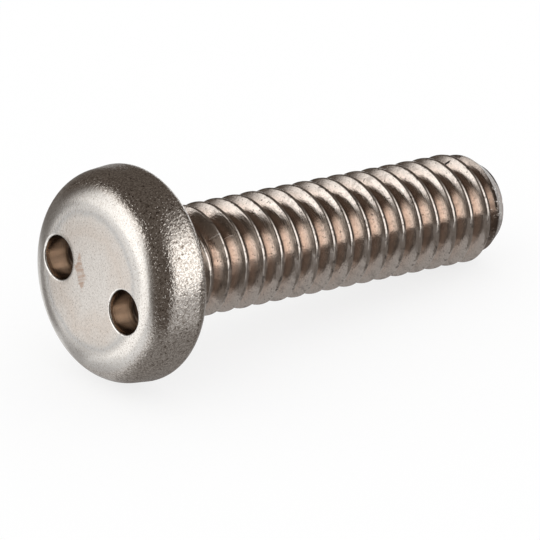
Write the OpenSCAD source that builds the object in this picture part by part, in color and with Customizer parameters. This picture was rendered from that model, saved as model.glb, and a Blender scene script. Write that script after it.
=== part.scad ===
// Pan head machine screw with a two-hole spanner drive, lying as it comes to rest:
// on the rim of its head and on the last full crest near its tip.

/* [Thread] */
// Diameter over the thread crests
thread_d = 6.3; // [5:0.05:8]
// Distance from one crest to the next
pitch = 1.27; // [0.8:0.01:1.6]
// Distance from the bearing face to the middle of the first crest, along the top of the lying screw
thread_start = 1.88; // [1.8:0.01:4]
// Length of thread, in turns, over which the first ridge and groove grow out of the neck
run_in_turns = 0.25; // [0.25:0.05:1]

/* [Shank] */
// Length from the bearing face to the tip
length = 24.3; // [12:0.1:50]
// Length of the chamfer at the tip
tip_chamfer = 1.3; // [0.6:0.1:2]
// Radius of the fillet between the neck and the head
neck_fillet = 0.4; // [0.2:0.05:0.6]

/* [Head] */
// Largest diameter of the head
head_d = 12.1; // [11:0.1:15]
// Height of the head from the bearing face to the flat face
head_h = 3.8; // [3.4:0.1:6]
// Radius of the round edge between the flat face and the side
face_edge_r = 2; // [1:0.1:2.2]
// Radius of the round edge between the side and the bearing face
rim_edge_r = 1; // [0.4:0.1:1.1]
// Lean of the side towards the axis, in degrees
side_lean = 5; // [0:1:10]

/* [Spanner holes] */
// Diameter of each hole
hole_d = 2.45; // [1.5:0.05:2.6]
// Depth of each hole below the flat face
hole_depth = 1.6; // [1:0.1:2.4]
// Distance between the centres of the two holes
hole_spacing = 6; // [4:0.1:6.4]
// Turn of the pair about the axis, from the top of the lying screw, in degrees
hole_turn = -101; // [-180:0.5:180]
// Shift of the pair off the axis along the line of the holes, as drilled
pair_shift_along = 0.13; // [-0.3:0.01:0.3]
// Shift of the pair off the axis across the line of the holes, as drilled
pair_shift_across = -0.19; // [-0.3:0.01:0.3]

/* [Hidden] */

// Facets of the turned forms, and stations round one turn of the thread
$fn = 96;
stations = 32;
// How far one form runs into the next where they join, and past a face that it cuts
overlap = 0.5;
// Step from the neck in to the first thread, and from the thread's root in to the tip
step = 0.03;
// How far the head's side lies inside the common tangent of its round edges, so that it crosses both
side_tuck = 0.002;

// Form of a 60 degree thread, as shares of its pitch: depth, crest width and half width of the round root
thread_r = thread_d / 2;
flank_run = tan(30);
depth = 0.614 * pitch;
crest_half = pitch / 16;
root_half = 0.155 * pitch;
flank_gap = 0.02 * pitch;
// Thread points this near the tip's end give way to the end ring
end_gap = 0.1 * pitch;
root_r = thread_r - depth;
flank_r = thread_r - (pitch / 2 - root_half - crest_half) / flank_run;
// A rolled thread starts from a blank of the pitch diameter, which the neck keeps
blank_r = thread_r - 0.325 * pitch;
neck_r = blank_r + step;
neck_end = thread_start - pitch / 2 - root_half - step;
tip_r = root_r - step;

// Head section: centres of its two round edges, with the side as their common tangent
head_r = head_d / 2;
rim_at = [head_r - rim_edge_r, rim_edge_r];
face_z = head_h - face_edge_r;
face_at = [
    rim_at[0] + (rim_edge_r - face_edge_r - (face_z - rim_at[1]) * sin(side_lean)) / cos(side_lean),
    face_z
];
side_normal = [cos(side_lean), sin(side_lean)];

// How the screw lies: the first crest edge to meet the floor as the tip comes down sets its slope
crests_below = [for (at = [thread_start + pitch / 2 + crest_half : pitch : length]) at];
slope = min([for (at = crests_below) slope_onto(at)]);
rest_z = rim_at[0] * cos(slope) - rim_at[1] * sin(slope) + rim_edge_r;
head_reach = face_at[0] * sin(slope) + face_at[1] * cos(slope) + face_edge_r;
tip_reach = tip_r * sin(slope) + length * cos(slope);

// Slope at which the head's rim and a crest at a distance from the bearing face both touch the floor
function slope_onto(at) =
    let (rise = rim_at[0] - min(thread_r, chamfer_r(at)), run = rim_at[1] + at)
    acos(-rim_edge_r / norm([rise, run])) - atan2(run, rise);

// Radius of the tip's chamfer cone at a distance from the bearing face
function chamfer_r(at) = tip_r + (length - at) * (thread_r - tip_r) / tip_chamfer;

// Radius after a number of turns, which grows smoothly from the blank's to the full thread's
function grown(turn, full_r) =
    let (share = max(0, min(1, turn / run_in_turns)))
    blank_r + (full_r - blank_r) * share * share * (3 - 2 * share);

// Half width of a ridge of the thread's form at a radius
function half_width(r) = crest_half + (thread_r - r) * flank_run;

// Half width of the ridge's crest after a number of turns, wider where the chamfer cuts it lower
function crest_width(turn) =
    half_width(min(grown(turn, thread_r), max(root_r, chamfer_r(thread_start + pitch * turn))));

// Half width of the ridge's foot after a number of turns
function foot_width(turn) = max(pitch / 2 - root_half, crest_width(turn) + flank_gap);

// Section of one turn of the thread: far foot of the ridge before it, root, near foot and both edges
// of its own crest, each as [distance from the bearing face, radius]
function turn_section(turn) =
    let (mid = thread_start + pitch * turn, crest_r = grown(turn, thread_r))
    [
        [mid - pitch + foot_width(turn - 1), grown(turn - 1, flank_r)],
        [mid - pitch / 2, grown(turn, root_r)],
        [mid - foot_width(turn), grown(turn, flank_r)],
        [mid - crest_width(turn), crest_r],
        [mid + crest_width(turn), crest_r]
    ];

// A section point brought inside the tip's cone, and turned to its station's place round the axis
function thread_point(section, station) =
    let (
        at = min(section[0], length),
        r = min(section[1], chamfer_r(at)),
        angle = -360 * station / stations
    )
    [r * cos(angle), r * sin(angle), -at];

function flatten(lists) = [for (list = lists) each list];

// The two triangles of a four-cornered face, without any whose corners fall together
function split(a, b, c, d) = [
    for (face = [[a, b, c], [a, c, d]])
    if (face[0] != face[1] && face[1] != face[2] && face[2] != face[0]) face
];

// Threaded shank: columns of section points at each station, joined along the helix, with flat ends.
// A column that reaches the tip ends in its point of the end ring.
module threaded_shank() {
    section_n = 5;
    turns = ceil((length - thread_start) / pitch) + 1;
    rows = section_n * turns;
    columns = [
        for (station = [0 : stations - 1])
        flatten([for (turn = [0 : turns - 1]) turn_section(turn + station / stations)])
    ];
    top_ring = [for (station = [0 : stations - 1]) thread_point([neck_end - overlap, blank_r], station)];
    end_ring = [for (station = [0 : stations - 1]) thread_point([length, tip_r], station)];
    body = flatten([
        for (station = [0 : stations - 1])
        [for (point = columns[station]) thread_point(point, station)]
    ]);
    points = concat(body, top_ring, end_ring);
    top_0 = stations * rows;
    end_0 = top_0 + stations;
    last = stations - 1;
    // Index of a column's point in a row, or of its end ring point from the tip on
    function at(station, row) =
        row >= rows || columns[station][row][0] > length - end_gap ? end_0 + station : station * rows + row;
    sides = flatten([
        for (station = [0 : last - 1], row = [0 : rows - 1])
        split(at(station, row), at(station, row + 1), at(station + 1, row + 1), at(station + 1, row))
    ]);
    // The last column joins the first one turn further on
    seam = flatten([
        for (row = [0 : rows - 1])
        split(at(last, row), at(last, row + 1), at(0, row + section_n + 1), at(0, row + section_n))
    ]);
    neck_sides = flatten([
        for (station = [0 : last - 1])
        split(top_0 + station, at(station, 0), at(station + 1, 0), top_0 + station + 1)
    ]);
    // Before the thread has any height, the first turn of column 0 is a straight line on the blank
    run_in = concat([at(last, 0)], [for (row = [section_n : -1 : 0]) at(0, row)], [top_0, top_0 + last]);
    top_cap = [for (station = [0 : last]) top_0 + station];
    end_cap = [for (station = [last : -1 : 0]) end_0 + station];
    polyhedron(points, concat(sides, seam, neck_sides, [run_in, top_cap, end_cap]));
}

// The outer part of a disc, from a distance below its centre up to its top
module round_edge(r, below) {
    intersection() {
        circle(r);
        translate([0, -below]) square([r, r + below]);
    }
}

// Half section of the head and neck, with the axis as its left edge and the bearing face at height 0
module head_section() {
    polygon([
        [0, -neck_end],
        [neck_r, -neck_end],
        [neck_r, 0],
        [rim_at[0], 0],
        rim_at + (rim_edge_r - side_tuck) * side_normal,
        face_at + (face_edge_r - side_tuck) * side_normal,
        [face_at[0], head_h],
        [0, head_h]
    ]);
    translate(rim_at) round_edge(rim_edge_r, rim_edge_r);
    translate(face_at) round_edge(face_edge_r, overlap);
    translate([neck_r, -neck_fillet]) difference() {
        square(neck_fillet);
        translate([neck_fillet, 0]) circle(neck_fillet);
    }
}

// One blind spanner hole on a side of the pair, down from the flat face
module spanner_hole(side) {
    rotate(hole_turn)
        translate([pair_shift_along + side * hole_spacing / 2, pair_shift_across, head_h - hole_depth])
            cylinder(h = hole_depth + overlap, d = hole_d);
}

// The whole screw on the Z axis, head up, with the bearing face at height 0
module upright_screw() {
    difference() {
        union() {
            rotate_extrude() head_section();
            threaded_shank();
        }
        for (side = [-1, 1]) spanner_hole(side);
    }
}

module screw() {
    color("silver")
        translate([(head_reach - tip_reach) / 2, 0, rest_z])
            rotate([0, slope - 90, 0])
                upright_screw();
}

screw();
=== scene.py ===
"""Looks of a stainless pan head machine screw with a two-hole spanner drive.

The screw is made again as one detailed mesh in its own frame, in millimetres: its axis is Z, the bearing
face is at height 0, the flat face is at the top and the tip points down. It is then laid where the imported
solid lies.
"""

from __future__ import annotations

import logging
import math
from dataclasses import dataclass, field
from enum import Enum
from typing import Callable, Union

import bmesh
import bpy
from mathutils import Matrix, Vector


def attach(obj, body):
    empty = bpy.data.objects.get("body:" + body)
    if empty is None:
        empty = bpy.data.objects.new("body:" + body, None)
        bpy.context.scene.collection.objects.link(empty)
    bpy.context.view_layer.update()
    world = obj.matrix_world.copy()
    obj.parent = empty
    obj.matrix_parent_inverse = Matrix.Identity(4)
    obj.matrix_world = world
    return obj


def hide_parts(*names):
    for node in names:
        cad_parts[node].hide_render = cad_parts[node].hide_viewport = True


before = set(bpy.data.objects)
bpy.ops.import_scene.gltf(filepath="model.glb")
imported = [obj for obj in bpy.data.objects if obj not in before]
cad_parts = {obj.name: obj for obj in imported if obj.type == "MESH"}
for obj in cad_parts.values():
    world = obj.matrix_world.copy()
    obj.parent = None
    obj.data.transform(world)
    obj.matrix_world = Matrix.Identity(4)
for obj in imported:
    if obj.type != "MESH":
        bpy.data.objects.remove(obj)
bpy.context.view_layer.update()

MM = 0.001
LOG = logging.getLogger("spanner_screw")

Colour = tuple[float, float, float]
Span = tuple[float, float]
Number = Union[int, float]


class Zone(Enum):
    """The finishes of the one piece, in the order of its material slots."""

    HEAD = 0
    HOLE = 1
    THREAD = 2
    RIM = 3


class Signal:
    """A number in a material: a socket whose expressions add Math nodes to its sheet."""

    def __init__(self, sheet: "Sheet", socket: bpy.types.NodeSocket) -> None:
        """Wrap a socket of a sheet."""
        self.sheet = sheet
        self.socket = socket

    def _math(self, operation: str, first: "Term", second: "Term") -> "Signal":
        """Add one Math node.

        Args:
            operation: The node's operation.
            first: Its first value or signal.
            second: Its second value or signal.

        Returns:
            The result as a signal.
        """
        return self.sheet.make("ShaderNodeMath", {"operation": operation}, {0: first, 1: second})

    def __add__(self, other: "Term") -> "Signal":
        """Sum."""
        return self._math("ADD", self, other)

    def __radd__(self, other: "Term") -> "Signal":
        """Sum with a number on the left."""
        return self._math("ADD", other, self)

    def __sub__(self, other: "Term") -> "Signal":
        """Difference."""
        return self._math("SUBTRACT", self, other)

    def __rsub__(self, other: "Term") -> "Signal":
        """Difference with a number on the left."""
        return self._math("SUBTRACT", other, self)

    def __mul__(self, other: "Term") -> "Signal":
        """Product."""
        return self._math("MULTIPLY", self, other)

    def __rmul__(self, other: "Term") -> "Signal":
        """Product with a number on the left."""
        return self._math("MULTIPLY", other, self)

    def __truediv__(self, other: "Term") -> "Signal":
        """Quotient."""
        return self._math("DIVIDE", self, other)

    def __pow__(self, other: "Term") -> "Signal":
        """Power."""
        return self._math("POWER", self, other)

    def __abs__(self) -> "Signal":
        """Size without its sign."""
        return self._math("ABSOLUTE", self, 0.0)

    def most(self, other: "Term") -> "Signal":
        """The larger of two."""
        return self._math("MAXIMUM", self, other)

    def least(self, other: "Term") -> "Signal":
        """The smaller of two."""
        return self._math("MINIMUM", self, other)

    def step(self, low: float, high: float) -> "Signal":
        """Rise smoothly from 0 to 1.

        Args:
            low: The value that gives 0.
            high: The value that gives 1, which may be the lower of the two.

        Returns:
            The smooth step as a signal.
        """
        return self.sheet.make(
            "ShaderNodeMapRange",
            {"interpolation_type": "SMOOTHSTEP"},
            {"Value": self, "From Min": low, "From Max": high},
        )


Term = Union[Signal, Number]
Tint = Union[Signal, Colour]


class Sheet:
    """The node tree of one material, with the screw's own coordinates in millimetres at hand."""

    def __init__(self, name: str, to_own: Matrix) -> None:
        """Start an empty material.

        Args:
            name: The material's name.
            to_own: The matrix from the row's metres to the screw's own millimetres.
        """
        self.material = bpy.data.materials.new(name)
        self.material.use_nodes = True
        self.tree = self.material.node_tree
        self.tree.nodes.clear()
        place, turn, scale = to_own.decompose()
        self.coords = self.make(
            "ShaderNodeMapping",
            {"vector_type": "POINT"},
            {
                "Vector": self.make("ShaderNodeTexCoord", {}, {}, "Object"),
                "Location": place,
                "Rotation": turn.to_euler(),
                "Scale": scale,
            },
        )
        split = self.make("ShaderNodeSeparateXYZ", {}, {"Vector": self.coords}).socket.node
        self.x, self.y, self.z = (Signal(self, split.outputs[axis]) for axis in "XYZ")
        self.r = (self.x * self.x + self.y * self.y) ** 0.5

    def make(self, kind: str, settings: dict, inputs: dict, output: Union[int, str] = 0) -> Signal:
        """Add a node.

        Args:
            kind: The node's type.
            settings: Its properties, set before its sockets.
            inputs: Values or signals by socket name or number.
            output: The output socket to return.

        Returns:
            The chosen output as a signal.
        """
        node = self.tree.nodes.new(kind)
        for key, value in settings.items():
            setattr(node, key, value)
        for key, value in inputs.items():
            socket = node.inputs[key]
            if isinstance(value, Signal):
                self.tree.links.new(value.socket, socket)
            elif socket.type == "RGBA":
                socket.default_value = (*value, 1.0)
            else:
                socket.default_value = value
        shown = node.outputs[output] if node.outputs else None
        return Signal(self, shown)

    def mix(self, share: Term, low: Tint, high: Tint) -> Signal:
        """Blend two colours.

        Args:
            share: How much of the second colour shows.
            low: The first colour.
            high: The second colour.

        Returns:
            The blended colour.
        """
        node = {"data_type": "RGBA", "blend_type": "MIX", "clamp_factor": True}
        return self.make("ShaderNodeMix", node, {0: share, 6: low, 7: high}, 2)

    def vector(self, x: Term, y: Term, z: Term) -> Signal:
        """Join three numbers into a vector."""
        return self.make("ShaderNodeCombineXYZ", {}, {"X": x, "Y": y, "Z": z})

    def noise(
        self, scale: float, detail: float = 2.0, rough: float = 0.5, at: Signal | None = None
    ) -> Signal:
        """Cloudy noise.

        Args:
            scale: Features per millimetre.
            detail: Octaves of finer noise.
            rough: How strong the finer octaves are.
            at: The coordinates, which are the screw's own unless given.

        Returns:
            The noise, around 0.5.
        """
        values = {"Vector": at or self.coords, "Scale": scale, "Detail": detail, "Roughness": rough}
        return self.make("ShaderNodeTexNoise", {}, values)

    def attribute(self, name: str) -> Signal:
        """A number stored on the mesh."""
        return self.make("ShaderNodeAttribute", {"attribute_name": name}, {}, "Fac")

    def bump(self, height: Signal, relief: float) -> Signal:
        """Turn a height into a normal.

        Args:
            height: The height signal.
            relief: Height of one unit, in millimetres.

        Returns:
            The bumped normal.
        """
        values = {"Height": height, "Strength": 1.0, "Distance": relief * MM}
        return self.make("ShaderNodeBump", {}, values)

    def metal(self, colour: Tint, rough: Term, normal: Signal) -> bpy.types.Material:
        """Finish the material as bare metal.

        Args:
            colour: Its colour.
            rough: Its roughness.
            normal: Its bumped normal.

        Returns:
            The material.
        """
        values = {"Base Color": colour, "Metallic": 1.0, "Roughness": rough, "Normal": normal}
        shader = self.make("ShaderNodeBsdfPrincipled", {}, values)
        self.make("ShaderNodeOutputMaterial", {}, {"Surface": shader})
        return self.material


@dataclass(frozen=True)
class HeadFinish:
    """Tumbled steel: a satin face with fine specks, a painted highlight ring at its round edge, and a coarse
    pitted grain round the side.

    Each span is a radius or height where a change starts and one where it is complete. Each ring is a
    radius and a half width. All are in millimetres.
    """

    steel: Colour = (0.76, 0.72, 0.675)
    bright: Colour = (0.76, 0.74, 0.71)
    beige: Colour = (0.71, 0.63, 0.56)
    cool: Colour = (0.5, 0.51, 0.515)
    side: Colour = (0.88, 0.835, 0.785)
    dull: Colour = (0.5, 0.45, 0.405)
    dark: Colour = (0.16, 0.12, 0.09)
    stain: Colour = (0.44, 0.29, 0.205)
    stain_corners: tuple[tuple[float, float], ...] = ((1.36, 1.11), (0.34, 1.49), (-1.01, 0.64), (0.01, 0.27))
    stain_lines: tuple[float, float] = (0.944, 0.331)
    bearing_span: Span = (0.12, 0.02)
    face_span: Span = (3.7, 3.78)
    edge_highlight_span: Span = (3.8, 4.3)
    edge_span: Span = (4.9, 5.3)
    side_span: Span = (5.0, 5.5)
    beige_ring: Span = (2.7, 1.2)
    cool_ring: Span = (3.8, 0.32)
    relief: float = 0.023

    def stain_share(self, sheet: Sheet) -> Signal:
        """How strongly the kite-shaped scuff beside one hole shows."""
        corners = self.stain_corners
        inside: Signal | None = None
        for (ax, ay), (bx, by) in zip(corners, corners[1:] + corners[:1]):
            run = math.hypot(bx - ax, by - ay)
            reach = (sheet.y - ay) * ((bx - ax) / run) - (sheet.x - ax) * ((by - ay) / run)
            inside = reach if inside is None else inside.least(reach)
        ragged = (sheet.noise(3.4, 2.0, 0.6) - 0.5) * 0.4
        kite = (inside + ragged).step(-0.02, 0.16)
        cos, sin = self.stain_lines
        across = sheet.x * cos + sheet.y * sin
        along = sheet.y * cos - sheet.x * sin
        lines = sheet.noise(1.0, 2.0, 0.6, sheet.vector(across * 5.5, along * 0.7, 0.0)).step(0.36, 0.6)
        return kite * (0.2 + 0.55 * lines) * sheet.z.step(*self.face_span)

    @staticmethod
    def ring(sheet: Sheet, at: Span, wander: Signal) -> Signal:
        """How strongly a soft ring shows, from its radius and half width and how far it wanders."""
        return (1.0 - abs(sheet.r - at[0] + wander) / at[1]).most(0.0)

    def material(self, to_own: Matrix) -> bpy.types.Material:
        """Make the head's material.

        Args:
            to_own: The matrix from the row's metres to the screw's own millimetres.

        Returns:
            The material.
        """
        sheet = Sheet("tumbled_steel", to_own)
        shifted = [sheet.vector(sheet.x, sheet.y, sheet.z + offset) for offset in (20.0, 40.0, 60.0)]
        side = sheet.r.step(*self.side_span)
        edge = sheet.r.step(*self.edge_span)
        grain = sheet.noise(5.8, 3.0, 0.55)
        fine = sheet.noise(16.0, 2.0, 0.6)
        mottle = sheet.noise(9.0, 3.0, 0.7, shifted[0]).step(0.38, 0.6)
        specks = sheet.noise(11.0, 2.0, 0.55, shifted[1]).step(0.6, 0.68)
        sparks = sheet.noise(8.0, 1.0, 0.5, shifted[2]).step(0.52, 0.7)
        pits = grain.step(0.42, 0.33)
        cloud = sheet.noise(0.8, 3.0, 0.55)
        beige = self.ring(sheet, self.beige_ring, (cloud - 0.5) * 2.4)
        cool = self.ring(sheet, self.cool_ring, (cloud - 0.5) * 0.5)
        colour = sheet.mix(beige * 0.8, self.steel, self.beige)
        colour = sheet.mix(cool * 0.6, colour, self.cool)
        # Painted highlight: a brighter ring where the face turns into its round edge.
        colour = sheet.mix(sheet.r.step(*self.edge_highlight_span), colour, self.bright)
        colour = sheet.mix(edge, colour, sheet.mix(mottle, self.dull, self.side))
        colour = sheet.mix((1.0 - edge) * (1.0 - mottle) * 0.4, colour, self.dull)
        colour = sheet.mix((pits * side * 0.85).most(specks * 0.5), colour, self.dark)
        colour = sheet.mix(sheet.z.step(*self.bearing_span) * 0.75, colour, self.dull)
        colour = sheet.mix(self.stain_share(sheet), colour, self.stain)
        rough = 0.23 - 0.12 * side + 0.1 * (fine - 0.5)
        height = grain * (0.2 + 0.8 * side) + fine * 0.07 + sparks * side * 0.4
        return sheet.metal(colour, rough, sheet.bump(height, self.relief))


@dataclass(frozen=True)
class HoleFinish:
    """Drilled steel in the spanner holes: a browned wall painted lighter deeper down as a reflection band,
    and a dull floor with painted shade in its corner.

    The reflection band's and the floor's spans are heights over the floor, and the corner's is a distance
    from the hole's axis.
    """

    reflection_bronze: Colour = (0.98, 0.86, 0.75)
    umber: Colour = (0.46, 0.385, 0.33)
    ground: Colour = (0.7, 0.61, 0.53)
    corner_shade_tone: Colour = (0.09, 0.072, 0.06)
    reflection_band_span: Span = (1.3, 0.3)
    floor_span: Span = (0.03, 0.012)
    corner_span: Span = (0.62, 1.08)
    relief: float = 0.006

    def material(self, to_own: Matrix, floor: float, centres: list[Vector]) -> bpy.types.Material:
        """Make the holes' material.

        Args:
            to_own: The matrix from the row's metres to the screw's own millimetres.
            floor: Height of the holes' floor.
            centres: Where the holes' axes stand on the face.

        Returns:
            The material.
        """
        sheet = Sheet("drilled_steel", to_own)
        rings = sheet.noise(1.0, 2.0, 0.6, sheet.vector(sheet.x * 0.8, sheet.y * 0.8, sheet.z * 9.0))
        # Painted reflection: the wall turns lighter towards the floor.
        reflection_band = (sheet.z - floor).step(*self.reflection_band_span)
        low = (sheet.z - floor).step(*self.floor_span)
        reaches = [((sheet.x - at.x) ** 2.0 + (sheet.y - at.y) ** 2.0) ** 0.5 for at in centres]
        # Painted shade: the floor's corner round the wall is made near-black.
        corner_shade = low * reaches[0].least(reaches[1]).step(*self.corner_span)
        colour = sheet.mix((reflection_band * 0.8 + rings * 0.3).least(1.0), self.umber, self.reflection_bronze)
        colour = sheet.mix(corner_shade, sheet.mix(low, colour, self.ground), self.corner_shade_tone)
        rough = 0.12 + 0.1 * rings + 0.16 * low
        return sheet.metal(colour, rough, sheet.bump(rings, self.relief))


@dataclass(frozen=True)
class RimFinish:
    """Worn steel on the round edges of the spanner holes, rubbed bright by the driver's pins."""

    steel: Colour = (0.86, 0.84, 0.81)
    scuffed: Colour = (0.5, 0.46, 0.42)
    relief: float = 0.01

    def material(self, to_own: Matrix) -> bpy.types.Material:
        """Make the rims' material."""
        sheet = Sheet("worn_steel", to_own)
        scuffs = sheet.noise(5.0, 3.0, 0.6)
        colour = sheet.mix(scuffs.step(0.5, 0.7), self.steel, self.scuffed)
        return sheet.metal(colour, 0.2 + 0.15 * (scuffs - 0.5), sheet.bump(scuffs, self.relief))


@dataclass(frozen=True)
class ThreadFinish:
    """Rolled steel: burnished flanks with fine streaks and dark pits, with a painted copper reflection tint
    and painted shade down in the groove.

    The tip and scratch spans are heights on the axis in millimetres, and the scratch's turn is in degrees.
    """

    steel: Colour = (0.76, 0.7, 0.65)
    reflected_copper: Colour = (0.8, 0.615, 0.51)
    dull: Colour = (0.5, 0.43, 0.385)
    dark: Colour = (0.1, 0.082, 0.07)
    nick_black: Colour = (0.02, 0.016, 0.014)
    glint_white: Colour = (0.92, 0.89, 0.86)
    tip_span: Span = (-23.0, -23.5)
    nick_at: tuple[float, float, float] = (2.84, 0.2, -21.9)
    nick_skew: float = 0.6
    scratch_turn: float = -43.0
    scratch_start: Span = (-3.8, -3.55)
    scratch_stop: Span = (-2.8, -3.05)
    relief: float = 0.009

    def nick(self, sheet: Sheet) -> Signal:
        """Where a short dark cut crosses a flank near the tip."""
        x, y, z = self.nick_at
        skew = (sheet.z - z) - self.nick_skew * (sheet.y - y)
        reach = abs(sheet.y - y).most(abs(sheet.x - x) * 0.5)
        return abs(skew).step(0.07, 0.03) * reach.step(0.16, 0.1)

    def scratch(self, sheet: Sheet, angle: Signal) -> Signal:
        """Where a hair-thin scratch runs along the screw near its head."""
        line = abs(angle * (180 / math.pi) - self.scratch_turn).step(0.9, 0.3)
        return 0.8 * line * sheet.z.step(*self.scratch_start) * sheet.z.step(*self.scratch_stop)

    def material(self, to_own: Matrix) -> bpy.types.Material:
        """Make the thread's material."""
        sheet = Sheet("rolled_steel", to_own)
        gap, crest_shade = sheet.attribute("gap"), sheet.attribute("crest_shade")
        angle = sheet.make("ShaderNodeMath", {"operation": "ARCTAN2"}, {0: sheet.y, 1: sheet.x})
        shifted = [sheet.vector(sheet.x, sheet.y, sheet.z + offset) for offset in (20.0, 60.0)]
        streaks = sheet.noise(1.0, 3.0, 0.65, sheet.vector(angle * 3.0, sheet.z * 14.0, sheet.r * 14.0))
        clouds = sheet.noise(1.6, 3.0, 0.6)
        grain = sheet.noise(9.0, 3.0, 0.65)
        mottle = sheet.noise(12.0, 3.0, 0.7, shifted[0]).step(0.35, 0.62)
        pits = sheet.noise(8.0, 2.0, 0.55, shifted[1]).step(0.65, 0.72)
        nicks = sheet.noise(3.4, 2.0, 0.6).step(0.55, 0.66) * gap.step(0.26, 0.1)
        tip = sheet.z.step(*self.tip_span)
        burrs = sheet.noise(6.0, 2.0, 0.6).step(0.6, 0.66) * tip
        scratch = self.scratch(sheet, angle)
        # Painted reflection tint: the flanks turn copper towards the root.
        colour = sheet.mix(gap.step(0.2, 0.75) * 0.7, self.steel, self.reflected_copper)
        colour = sheet.mix((1.0 - mottle) * 0.5, colour, self.dull)
        # Painted shade: darker down in the root.
        colour = sheet.mix(gap.step(0.62, 0.95) * 0.7, colour, self.dark)
        colour = sheet.mix(clouds.step(0.48, 0.78) * 0.35, colour, self.dark)
        colour = sheet.mix((pits * 0.65).most(nicks * 0.6), colour, self.dark)
        # Painted shade line along the crest's edge on the tip's side; the tip is also darker.
        colour = sheet.mix((crest_shade * 0.75).most(tip * (0.4 + 0.6 * clouds)), colour, self.dark)
        # The tip's burrs and the scratch are real marks; their white is a painted glint.
        colour = sheet.mix(burrs.most(scratch), colour, self.glint_white)
        # The nick is painted near-black.
        colour = sheet.mix(self.nick(sheet), colour, self.nick_black)
        rough = 0.07 + 0.1 * (clouds - 0.4) + 0.15 * pits + 0.12 * tip + 0.4 * scratch
        height = streaks * 0.45 + grain * 0.55 - pits * 0.5 - nicks * 0.5 + burrs * 1.6
        return sheet.metal(colour, rough, sheet.bump(height, self.relief))


@dataclass(frozen=True)
class Lie:
    """How the screw lies in the row: on the rim of its head and a crest near its tip."""

    slope: float = math.radians(6.93165)
    shift: Vector = field(default_factory=lambda: Vector((-10.06905, 0.0, 5.89240)))

    def to_row(self) -> Matrix:
        """The matrix from the screw's own millimetres to the row's metres."""
        turn = Matrix.Rotation(self.slope - math.pi / 2, 4, "Y")
        return Matrix.Scale(MM, 4) @ Matrix.Translation(self.shift) @ turn


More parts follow.
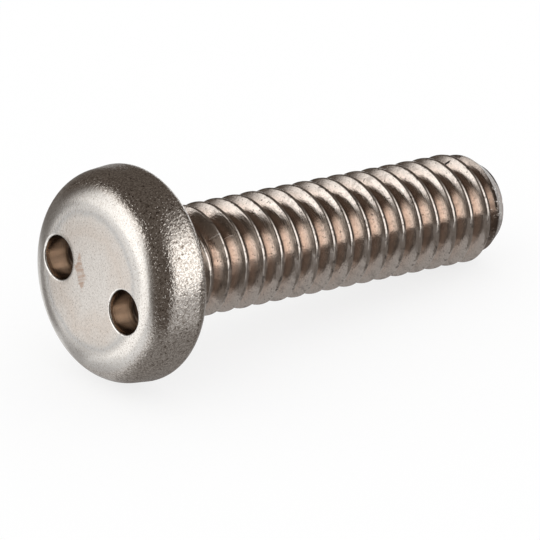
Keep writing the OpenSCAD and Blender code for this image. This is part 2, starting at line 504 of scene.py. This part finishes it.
@dataclass
class SpannerScrew:
    """The screw as one closed piece, with its sizes in millimetres."""

    thread_r: float = 3.15
    pitch: float = 1.27
    thread_start: float = 1.88
    run_in_turns: float = 0.25
    root_r: float = 2.3702
    flank_r: float = 2.5286
    crest_half: float = 0.0794
    crest_soft: float = 0.04
    root_half: float = 0.1969
    blank_r: float = 2.7373
    length: float = 24.3
    tip_chamfer: float = 1.3
    tip_r: float = 2.34
    tip_rings: tuple[Span, ...] = ((0.94, 0.0), (0.6, 0.06), (0.2, 0.09))
    neck_step: float = 0.03
    neck_gap: float = 0.05
    neck_fillet: float = 0.4
    head_r: float = 6.05
    head_h: float = 3.8
    face_edge_r: float = 2.0
    rim_edge_r: float = 1.0
    side_lean: float = math.radians(5.0)
    hole_r: float = 1.225
    hole_depth: float = 1.6
    hole_spacing: float = 6.0
    hole_turn: float = math.radians(-101.0)
    pair_shift: Vector = field(default_factory=lambda: Vector((0.13, -0.19, 0.0)))
    rim_round: float = 0.11
    rim_turns: tuple[float, ...] = (22.5, 45.0, 67.5, 90.0)
    wall_shares: tuple[float, ...] = (0.25, 0.5, 0.75, 0.985)
    floor_rings: tuple[Span, ...] = ((0.995, 0.006), (0.985, 0.0), (0.6, 0.0), (0.25, 0.0))
    face_ring_r: float = 4.9
    face_cuts: int = 13
    head_steps: int = 192
    divider_cuts: int = 47
    thread_steps: int = 128
    sharp_angle: float = math.radians(50)

    def __post_init__(self) -> None:
        """Work out the centres of the head's round edges."""
        self.rim_at = Vector((self.head_r - self.rim_edge_r, 0.0, self.rim_edge_r))
        face_z = self.head_h - self.face_edge_r
        rise = (face_z - self.rim_edge_r) * math.sin(self.side_lean)
        inset = (self.rim_edge_r - self.face_edge_r - rise) / math.cos(self.side_lean)
        self.face_at = Vector((self.rim_at.x + inset, 0.0, face_z))
        self.neck_end = self.thread_start - self.pitch / 2 - self.root_half - self.neck_step

    def face_height(self, r: float) -> float:
        """Height of the face or its round edge at a radius."""
        past = max(0.0, r - self.face_at.x)
        return self.face_at.z + math.sqrt(self.face_edge_r**2 - past**2)

    def hole_centre(self, side: int) -> Vector:
        """Middle of a spanner hole on the face, for side -1 or 1."""
        along = Vector((side * self.hole_spacing / 2, 0.0, 0.0)) + self.pair_shift
        return Matrix.Rotation(self.hole_turn, 3, "Z") @ along

    @staticmethod
    def arc(centre: Vector, r: float, start: float, stop: float, steps: int) -> list[Vector]:
        """Points of an arc in the XZ plane.

        Args:
            centre: Its centre.
            r: Its radius.
            start: Its first angle, from X towards Z.
            stop: Its last angle.
            steps: Edges along it.

        Returns:
            The points in order.
        """
        angles = [start + (stop - start) * n / steps for n in range(steps + 1)]
        return [centre + r * Vector((math.cos(a), 0.0, math.sin(a))) for a in angles]

    def head_outline(self) -> list[Vector]:
        """Half section of the head from its face ring, round the side and under it to the neck's end."""
        start = math.acos((self.face_ring_r - self.face_at.x) / self.face_edge_r)
        neck_r = self.blank_r + self.neck_step
        fillet = Vector((neck_r + self.neck_fillet, 0.0, -self.neck_fillet))
        points = self.arc(self.face_at, self.face_edge_r, start, self.side_lean, 18)
        points += self.arc(self.rim_at, self.rim_edge_r, self.side_lean, -math.pi / 2, 18)
        under = points[-1].x - fillet.x
        points += [Vector((fillet.x + under * share, 0.0, 0.0)) for share in (0.75, 0.5, 0.25)]
        points += self.arc(fillet, self.neck_fillet, math.pi / 2, math.pi, 6)
        points.append(Vector((neck_r, 0.0, -self.neck_end)))
        return points

    @staticmethod
    def polyline(bm: bmesh.types.BMesh, points: list[Vector]) -> list:
        """Add a line of edges.

        Args:
            bm: The mesh to add to.
            points: Its points in order.

        Returns:
            The new vertices and edges.
        """
        verts = [bm.verts.new(point) for point in points]
        return verts + [bm.edges.new(pair) for pair in zip(verts, verts[1:])]

    @staticmethod
    def drawn(bm: bmesh.types.BMesh, loop: list, place: Callable[[Vector], Vector], zone: Zone) -> list:
        """Extrude a loop of edges and move the new loop.

        Args:
            bm: The mesh.
            loop: The edges to extrude.
            place: Gives a new vertex its place from its old one.
            zone: The finish of the new faces.

        Returns:
            The new loop of edges.
        """
        made = bmesh.ops.extrude_edge_only(bm, edges=loop)["geom"]
        fresh = {item for item in made if isinstance(item, bmesh.types.BMVert)}
        for vert in fresh:
            vert.co = place(vert.co)
        for face in (item for item in made if isinstance(item, bmesh.types.BMFace)):
            face.material_index = zone.value
            face.smooth = True
        return [
            item for item in made
            if isinstance(item, bmesh.types.BMEdge) and item.verts[0] in fresh and item.verts[1] in fresh
        ]

    def build_head(self, bm: bmesh.types.BMesh) -> None:
        """Turn the head's outline and close its face round the two holes."""
        axis = Vector((0.0, 0.0, 1.0))
        first = Matrix.Rotation(self.hole_turn + math.pi / 2, 3, "Z")
        geom = self.polyline(bm, [first @ point for point in self.head_outline()])
        bmesh.ops.spin(
            bm, geom=geom, cent=(0, 0, 0), axis=axis, angle=math.tau, steps=self.head_steps, use_merge=True
        )
        ring_z = self.face_height(self.face_ring_r)
        ring = [e for e in bm.edges if e.is_boundary and all(v.co.z > ring_z - 1e-4 for v in e.verts)]
        across = first @ Vector((self.face_ring_r, 0.0, ring_z))
        ends = [
            min((v for e in ring for v in e.verts), key=lambda v: (v.co.xy - side * across.xy).length)
            for side in (1, -1)
        ]
        bmesh.ops.subdivide_edges(bm, edges=[bm.edges.new(ends)], cuts=self.divider_cuts)
        divider_edges = [e for e in bm.edges if e.is_wire]
        for vert in {v for e in divider_edges for v in e.verts}:
            vert.co.z = self.face_height(vert.co.xy.length)
        for side in (-1, 1):
            self.build_hole(bm, side, ring, divider_edges)

    def build_hole(self, bm: bmesh.types.BMesh, side: int, ring: list, divider: list) -> None:
        """Close one half of the face round a spanner hole, and sink the hole.

        Args:
            bm: The mesh.
            side: Which of the two holes, -1 or 1.
            ring: Edges of the face's outer ring.
            divider: Edges of the line between the two halves.
        """
        centre = self.hole_centre(side)
        outwards = side * Vector((math.cos(self.hole_turn), math.sin(self.hole_turn)))
        half = [e for e in ring if (e.verts[0].co.xy + e.verts[1].co.xy).dot(outwards) > 0]

        def ringed(r: float, drop: float) -> Callable[[Vector], Vector]:
            """Place a point on a circle round the hole, on the face or at a depth below it."""
            def place(point: Vector) -> Vector:
                """Place one point."""
                out = (point.xy - centre.xy).normalized() * r + centre.xy
                return Vector((out.x, out.y, self.face_height(out.length) - drop))
            return place

        def sunk(r: float, z: float) -> Callable[[Vector], Vector]:
            """Place a point on a circle round the hole at a height."""
            def place(point: Vector) -> Vector:
                """Place one point."""
                out = (point.xy - centre.xy).normalized() * r + centre.xy
                return Vector((out.x, out.y, z))
            return place

        outline = half + divider
        rim = self.drawn(bm, outline, ringed(self.hole_r + self.rim_round, 0.0), Zone.HEAD)
        inner = {v for e in rim for v in e.verts}
        outer = {v for e in outline for v in e.verts}
        spokes = [
            e for e in bm.edges
            if (e.verts[0] in inner and e.verts[1] in outer) or (e.verts[1] in inner and e.verts[0] in outer)
        ]
        cut = bmesh.ops.subdivide_edges(bm, edges=spokes, cuts=self.face_cuts, use_grid_fill=True)
        for vert in (v for v in cut["geom_inner"] if isinstance(v, bmesh.types.BMVert)):
            vert.co.z = self.face_height(vert.co.xy.length)
        loop = rim
        for turn in self.rim_turns:
            r = self.hole_r + self.rim_round * (1 - math.sin(math.radians(turn)))
            drop = self.rim_round * (1 - math.cos(math.radians(turn)))
            loop = self.drawn(bm, loop, ringed(r, drop), Zone.RIM)
        floor = self.head_h - self.hole_depth
        for share in self.wall_shares:
            z = self.head_h - self.rim_round - (self.hole_depth - self.rim_round) * share
            loop = self.drawn(bm, loop, sunk(self.hole_r, z), Zone.HOLE)
        for r, z in self.floor_rings:
            loop = self.drawn(bm, loop, sunk(self.hole_r * r, floor + z), Zone.HOLE)
        for face in bmesh.ops.contextual_create(bm, geom=loop)["faces"]:
            face.material_index = Zone.HOLE.value

    def form_r(self, offset: float) -> float:
        """Radius of the full thread's form at a distance from the middle of its crest."""
        gap = abs(offset)
        foot = self.pitch / 2 - self.root_half
        if gap >= foot:
            share = (self.pitch / 2 - gap) / self.root_half
            return self.root_r + (self.flank_r - self.root_r) * share * share
        slant = 1 / math.tan(math.radians(30))
        past = gap - self.crest_half + self.crest_soft
        if past <= 0.0:
            return self.thread_r
        if past < 2 * self.crest_soft:
            return self.thread_r - slant * past * past / (4 * self.crest_soft)
        return self.thread_r - slant * (gap - self.crest_half)

    def form_offsets(self) -> list[float]:
        """Places along one pitch, close together on the crest and in the root."""
        foot = self.pitch / 2 - self.root_half
        flat, bend = self.crest_half - self.crest_soft, self.crest_half + self.crest_soft
        half = [0.0, flat / 2] + [flat + (bend - flat) * n / 5 for n in range(6)]
        half += [bend + (foot - bend) * n / 4 for n in range(1, 5)]
        half += [foot + self.root_half * n / 4 for n in range(1, 5)]
        return [-offset for offset in reversed(half[1:])] + half

    def grown(self, turn: float, full_r: float) -> float:
        """Radius after a number of turns, which grows from the blank's to the full thread's."""
        share = max(0.0, min(1.0, turn / self.run_in_turns))
        return self.blank_r + (full_r - self.blank_r) * share * share * (3 - 2 * share)

    def chamfer_r(self, along: float) -> float:
        """Radius of the tip's chamfer cone at a distance from the bearing face."""
        return self.tip_r + (self.length - along) * (self.thread_r - self.tip_r) / self.tip_chamfer

    def build_thread(self, bm: bmesh.types.BMesh) -> None:
        """Roll one turn of the thread, repeat it, cut its ends and shape the run-in and chamfer."""
        start = -self.thread_start + 2 * self.pitch
        points = [Vector((self.form_r(s), 0.0, start - s)) for s in self.form_offsets()]
        geom = self.polyline(bm, points)
        dvec = Vector((0.0, 0.0, -self.pitch / self.thread_steps))
        bmesh.ops.spin(
            bm, geom=geom, cent=(0, 0, 0), axis=(0, 0, 1), dvec=dvec, angle=-math.tau, steps=self.thread_steps
        )
        turns = math.ceil((self.length - self.thread_start) / self.pitch) + 4
        one_turn = list(bm.verts) + list(bm.edges) + list(bm.faces)
        for turn in range(1, turns):
            copy = bmesh.ops.duplicate(bm, geom=one_turn)["geom"]
            verts = [item for item in copy if isinstance(item, bmesh.types.BMVert)]
            bmesh.ops.translate(bm, verts=verts, vec=(0.0, 0.0, -self.pitch * turn))
        bmesh.ops.remove_doubles(bm, verts=bm.verts, dist=1e-4)
        for z, normal in ((-self.neck_end - self.neck_gap, 1.0), (-self.length, -1.0)):
            everything = list(bm.verts) + list(bm.edges) + list(bm.faces)
            bmesh.ops.bisect_plane(
                bm, geom=everything, plane_co=(0, 0, z), plane_no=(0, 0, normal), clear_outer=True, dist=1e-5
            )
        bm.verts.layers.float.new("gap")
        bm.verts.layers.float.new("crest_shade")
        for vert in bm.verts:
            self.shape_thread(vert, bm.verts.layers.float["gap"], bm.verts.layers.float["crest_shade"])
        for face in bm.faces:
            face.material_index = Zone.THREAD.value

    def shape_thread(
        self, vert: bmesh.types.BMVert, gap: bmesh.types.BMLayerItem, crest_shade: bmesh.types.BMLayerItem
    ) -> None:
        """Bring a vertex of the full thread to its place in the run-in or the chamfer.

        Args:
            vert: The vertex.
            gap: The layer that keeps its distance from the crest, up to 1 in the root.
            crest_shade: The layer that marks the edge of the crest on the tip's side.
        """
        along = -vert.co.z
        share = (-math.atan2(vert.co.y, vert.co.x) / math.tau) % 1.0
        turn = round((along - self.thread_start) / self.pitch - share) + share
        offset = along - self.thread_start - self.pitch * turn
        foot = self.pitch / 2 - self.root_half
        past = max(0.0, (offset - foot) / self.root_half)
        vert[gap] = abs(offset) / (self.pitch / 2)
        bend = self.crest_half + self.crest_soft
        rising = (offset - self.crest_half + self.crest_soft) / (2 * self.crest_soft)
        # This marks the crest's edge where the thread's material paints a shade line.
        vert[crest_shade] = max(0.0, min(1.0, rising, (1.5 * bend - offset) / (0.5 * bend)))
        r = self.grown(turn + past, vert.co.xy.length)
        r = min(r, max(self.tip_r, self.chamfer_r(along)))
        scale = r / vert.co.xy.length
        vert.co.x *= scale
        vert.co.y *= scale

    def mesh(self, name: str, to_row: Matrix) -> bpy.types.Mesh:
        """Join the head and the thread into one closed mesh.

        Args:
            name: The mesh's name.
            to_row: The matrix from the screw's own millimetres to the row's metres.

        Returns:
            The finished mesh.
        """
        bm = bmesh.new()
        self.build_thread(bm)
        head = bmesh.new()
        head.verts.layers.float.new("gap")
        head.verts.layers.float.new("crest_shade")
        self.build_head(head)
        holder = bpy.data.meshes.new("head_holder")
        head.to_mesh(holder)
        head.free()
        bm.from_mesh(holder)
        bpy.data.meshes.remove(holder)
        open_edges = [e for e in bm.edges if e.is_boundary]
        tip = [e for e in open_edges if e.verts[0].co.z < -self.length + 1e-3]
        neck = [e for e in open_edges if e.verts[0].co.z >= -self.length + 1e-3]
        bridge = bmesh.ops.bridge_loops(bm, edges=neck)
        for face in bridge["faces"]:
            face.material_index = Zone.THREAD.value
        loop = tip
        for r, rise in self.tip_rings:
            def place(point: Vector, r: float = r, rise: float = rise) -> Vector:
                """Place a point on a ring of the tip's end."""
                out = point.xy.normalized() * self.tip_r * r
                return Vector((out.x, out.y, -self.length + rise))
            loop = self.drawn(bm, loop, place, Zone.HEAD)
        for face in bmesh.ops.contextual_create(bm, geom=loop)["faces"]:
            face.material_index = Zone.HEAD.value
        bmesh.ops.remove_doubles(bm, verts=bm.verts, dist=1e-5)
        bmesh.ops.recalc_face_normals(bm, faces=bm.faces)
        for face in bm.faces:
            face.smooth = True
        LOG.info("open edges: %d", sum(not e.is_manifold for e in bm.edges))
        bmesh.ops.transform(bm, matrix=to_row, verts=bm.verts)
        mesh = bpy.data.meshes.new(name)
        bm.to_mesh(mesh)
        bm.free()
        return mesh

    def build(self, lie: Lie) -> bpy.types.Object:
        """Make, dress and place the screw.

        Args:
            lie: How it lies in the row.

        Returns:
            The finished object.
        """
        to_row = lie.to_row()
        piece = bpy.data.objects.new("steel_screw", self.mesh("steel_screw", to_row))
        bpy.context.scene.collection.objects.link(piece)
        to_own = to_row.inverted()
        for material in (
            HeadFinish().material(to_own),
            HoleFinish().material(
                to_own, self.head_h - self.hole_depth, [self.hole_centre(side) for side in (-1, 1)]
            ),
            ThreadFinish().material(to_own),
            RimFinish().material(to_own),
        ):
            piece.data.materials.append(material)
        piece.data.set_sharp_from_angle(angle=self.sharp_angle)
        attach(piece, "root")
        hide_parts("screw")
        return piece


@dataclass(frozen=True)
class Window:
    """A lit opening in the tent, in degrees: each edge runs from unlit to fully lit."""

    start: Span
    stop: Span
    top: Span
    share: float = 1.0

    def lit(self, heading: Signal, rise: Signal) -> Signal:
        """How strongly the window lights each direction."""
        return self.share * heading.step(*self.start) * heading.step(*self.stop) * rise.step(*self.top)


@dataclass(frozen=True)
class Studio:
    """White floor and surround, a dark tent with two windows, a dark floor cloth with painted shadow near the
    screw, and the camera.

    Places in the tent and on the cloth are in metres and in degrees of heading: 0 points away from the
    camera, 90 to its right. On the cloth both count from the spot under the head.
    """

    azimuth: float = math.radians(-39.29)
    elevation: float = math.radians(24.96)
    lens: float = 440.0
    sensor: float = 36.0
    offset: Vector = field(default_factory=lambda: Vector((6.8929, -0.0079, -362.05)))
    floor_half: float = 2.0
    table_glow: float = 0.78
    cloth_tone: Colour = (0.115, 0.098, 0.085)
    panel_tone: Colour = (1.0, 0.985, 0.965)
    panel_strength: float = 1.55
    tent_r: float = 0.25
    tent_lift: float = 0.00005
    cloth_lift: float = 0.00003
    left_window: Window = Window((-143.0, -123.0), (-60.0, -86.0), (52.0, 34.0))
    left_fade: Span = (-105.0, -80.0)
    right_window: Window = Window((46.0, 92.0), (156.0, 134.0), (58.0, 30.0), 0.95)
    head_foot: Vector = field(default_factory=lambda: Vector((-0.012, 0.0, 0.0)))
    front_slant: tuple[float, float] = (0.643, 0.766)
    shank_shadow_share: float = 0.66

    def axes(self) -> tuple[Vector, Vector, Vector]:
        """Right, level forward and up of the camera's heading, in the row."""
        right = Vector((math.cos(self.azimuth), math.sin(self.azimuth), 0.0))
        level = Vector((-math.sin(self.azimuth), math.cos(self.azimuth), 0.0))
        return right, level, Vector((0.0, 0.0, 1.0))

    def camera(self, bearing: Vector) -> bpy.types.Object:
        """Place the camera by where the bearing face's centre appears.

        Args:
            bearing: That centre, in metres.

        Returns:
            The camera.
        """
        right, level, up = self.axes()
        forward = math.cos(self.elevation) * level - math.sin(self.elevation) * up
        top = math.sin(self.elevation) * level + math.cos(self.elevation) * up
        data = bpy.data.cameras.new("camera")
        data.lens = self.lens
        data.sensor_width = self.sensor
        data.clip_start = 0.01
        eye = bpy.data.objects.new("camera", data)
        place = bearing + MM * (self.offset.x * right + self.offset.y * top + self.offset.z * forward)
        turn = Matrix((right, top, -forward)).transposed().to_4x4()
        eye.matrix_world = Matrix.Translation(place) @ turn
        bpy.context.scene.collection.objects.link(eye)
        bpy.context.scene.camera = eye
        return eye

    def world(self) -> None:
        """A plain white surround, which lights the floor evenly."""
        world = bpy.data.worlds.new("surround")
        bpy.context.scene.world = world
        world.use_nodes = True
        glow = world.node_tree.nodes["Background"]
        glow.inputs["Color"].default_value = (1.0, 1.0, 1.0, 1.0)
        glow.inputs["Strength"].default_value = 1.0

    @staticmethod
    def stage_piece(name: str, bm: bmesh.types.BMesh, material: bpy.types.Material) -> bpy.types.Object:
        """Link a piece of the stage.

        Args:
            name: Its name.
            bm: Its mesh, which is freed.
            material: Its material.

        Returns:
            The object.
        """
        mesh = bpy.data.meshes.new(name)
        bm.to_mesh(mesh)
        bm.free()
        mesh.materials.append(material)
        piece = bpy.data.objects.new(name, mesh)
        bpy.context.scene.collection.objects.link(piece)
        return piece

    def floor(self) -> bpy.types.Object:
        """A pale light table that keeps the screw's shadow."""
        bm = bmesh.new()
        bmesh.ops.create_grid(bm, x_segments=1, y_segments=1, size=self.floor_half)
        sheet = Sheet("floor_white", Matrix.Identity(4))
        paper = sheet.make("ShaderNodeBsdfDiffuse", {}, {"Color": (1.0, 1.0, 1.0)})
        glow = sheet.make("ShaderNodeEmission", {}, {"Color": (1.0, 1.0, 1.0)})
        both = sheet.make("ShaderNodeMixShader", {}, {0: self.table_glow, 1: paper, 2: glow})
        sheet.make("ShaderNodeOutputMaterial", {}, {"Surface": both})
        return self.stage_piece("floor", bm, sheet.material)

    def cloth(self, sheet: Sheet, cover: Term, light: Term) -> bpy.types.Material:
        """Finish a material as dark cloth with lit panels and openings.

        Args:
            sheet: The material's sheet.
            cover: Where anything hangs, from 0 to 1.
            light: How much of the cloth is a lit panel, from 0 to 1.

        Returns:
            The material.
        """
        weave = sheet.make("ShaderNodeEmission", {}, {"Color": self.cloth_tone})
        panel = {"Color": self.panel_tone, "Strength": self.panel_strength}
        lamp = sheet.make("ShaderNodeEmission", {}, panel)
        clear = sheet.make("ShaderNodeBsdfTransparent", {}, {})
        hung = sheet.make("ShaderNodeMixShader", {}, {0: light, 1: weave, 2: lamp})
        both = sheet.make("ShaderNodeMixShader", {}, {0: cover, 1: clear, 2: hung})
        sheet.make("ShaderNodeOutputMaterial", {}, {"Surface": both})
        return sheet.material

    @staticmethod
    def degrees(sheet: Sheet, rise: Term, run: Term) -> Signal:
        """Angle of a slope or a heading, in degrees."""
        return sheet.make("ShaderNodeMath", {"operation": "ARCTAN2"}, {0: rise, 1: run}) * (180 / math.pi)

    @staticmethod
    def only_reflected(piece: bpy.types.Object) -> None:
        """Keep a piece of the stage out of everything but reflections."""
        piece.visible_camera = False
        piece.visible_diffuse = False
        piece.visible_shadow = False

    def tent(self) -> bpy.types.Object:
        """A dark dome that only reflections show, with a wide window on the left and one on the right."""
        sheet = Sheet("tent_cloth", Matrix.Rotation(-self.azimuth, 4, "Z"))
        heading = self.degrees(sheet, sheet.x, sheet.y)
        rise = self.degrees(sheet, sheet.z, sheet.r)
        left = self.left_window.lit(heading, rise) * (1.0 - 0.25 * heading.step(*self.left_fade))
        right = self.right_window.lit(heading, rise)
        bm = bmesh.new()
        bmesh.ops.create_uvsphere(bm, u_segments=64, v_segments=32, radius=self.tent_r)
        everything = list(bm.verts) + list(bm.edges) + list(bm.faces)
        bmesh.ops.bisect_plane(
            bm, geom=everything, plane_co=(0, 0, self.tent_lift), plane_no=(0, 0, -1), clear_outer=True
        )
        tent = self.stage_piece("tent", bm, self.cloth(sheet, 1.0, left.most(right)))
        self.only_reflected(tent)
        return tent

    def before_head(self, sheet: Sheet, heading: Signal) -> Signal:
        """Dark in front of the head, right of a line that slants away from its foot."""
        right, back = self.front_slant
        front = (sheet.x * right - sheet.y * back).step(0.003, 0.0115) * sheet.y.step(0.0, -0.002)
        return front * (1.0 - heading.step(156.0, 144.0) * heading.step(0.0, 10.0))

    @staticmethod
    def behind_head(sheet: Sheet, heading: Signal) -> Signal:
        """Dark behind the head, far off and close to its left edge."""
        far = sheet.r.step(0.008, 0.034) * heading.step(-84.0, -68.0) * 0.92
        close = heading.step(-83.0, -72.0) * heading.step(-42.0, -60.0) * sheet.r.step(0.003, 0.01) * 0.8
        return far.most(close) * heading.step(10.0, -10.0)

    def by_shank(self, sheet: Sheet, heading: Signal) -> Signal:
        """Painted shadow under the shank, and dark cloth on the camera's side of it."""
        cos, sin = math.cos(self.azimuth), math.sin(self.azimuth)
        along = sheet.x * cos - sheet.y * sin
        across = sheet.x * sin + sheet.y * cos
        # Painted shadow: the strip under the shank.
        under = abs(across).step(0.0042, 0.0034) * along.step(-0.002, 0.002) * along.step(0.034, 0.03)
        beside = across.step(-0.0032, -0.0038) * heading.step(113.0, 108.0) * heading.step(48.0, 52.0)
        beside = beside * sheet.r.step(0.08, 0.05)
        return (beside * 0.92).most(under * self.shank_shadow_share)

    @staticmethod
    def by_head(sheet: Sheet, heading: Signal) -> Signal:
        """Dark close to the head: painted shadow before it, round its foot and behind its left edge, and dark
        cloth on its right.
        """
        # Painted shadow close to the head: before it, round its foot, and behind its left edge.
        front_shadow = sheet.r.step(0.014, 0.011) * sheet.x.step(-0.003, 0.001) * sheet.y.step(0.0005, -0.001)
        aside = heading.step(96.0, 104.0) * heading.step(158.0, 146.0) * sheet.r.step(0.09, 0.03)
        foot_shadow = sheet.r.step(0.007, 0.002)
        edge = sheet.r.step(0.014, 0.004) * heading.step(-112.0, -92.0) * heading.step(-58.0, -72.0)
        return (front_shadow * 0.85).most(aside * 0.55).most(foot_shadow * 0.55).most(edge * 0.62)

    def floor_cloth(self) -> bpy.types.Object:
        """A dark cloth on the floor that only reflections show, with painted shadow near the screw and a lit
        panel on the left.
        """
        turn = Matrix.Rotation(-self.azimuth, 4, "Z")
        sheet = Sheet("floor_cloth", turn @ Matrix.Translation(-self.head_foot))
        heading = self.degrees(sheet, sheet.x, sheet.y)
        dark = self.before_head(sheet, heading).most(self.behind_head(sheet, heading))
        dark = dark.most(self.by_shank(sheet, heading)).most(self.by_head(sheet, heading))
        left = heading.step(-158.0, -142.0) * heading.step(-94.0, -114.0) * sheet.r.step(0.003, 0.007)
        light = 0.85 * left * (1.0 - dark)
        bm = bmesh.new()
        bmesh.ops.create_grid(bm, x_segments=1, y_segments=1, size=self.tent_r)
        bmesh.ops.translate(bm, verts=bm.verts, vec=(0.0, 0.0, self.cloth_lift))
        cloth = self.stage_piece("floor_cloth", bm, self.cloth(sheet, dark.most(light), light))
        self.only_reflected(cloth)
        return cloth

    def build(self, bearing: Vector) -> None:
        """Set up the whole studio round the screw."""
        bpy.context.scene.view_settings.view_transform = "Standard"
        self.camera(bearing)
        self.world()
        self.floor()
        self.tent()
        self.floor_cloth()


def main() -> None:
    """Build the screw and its studio."""
    logging.basicConfig(level=logging.INFO)
    lie = Lie()
    screw = SpannerScrew()
    piece = screw.build(lie)
    LOG.info("%s: %d faces", piece.name, len(piece.data.polygons))
    Studio().build(lie.to_row().translation)


if __name__ == "__main__":
    main()
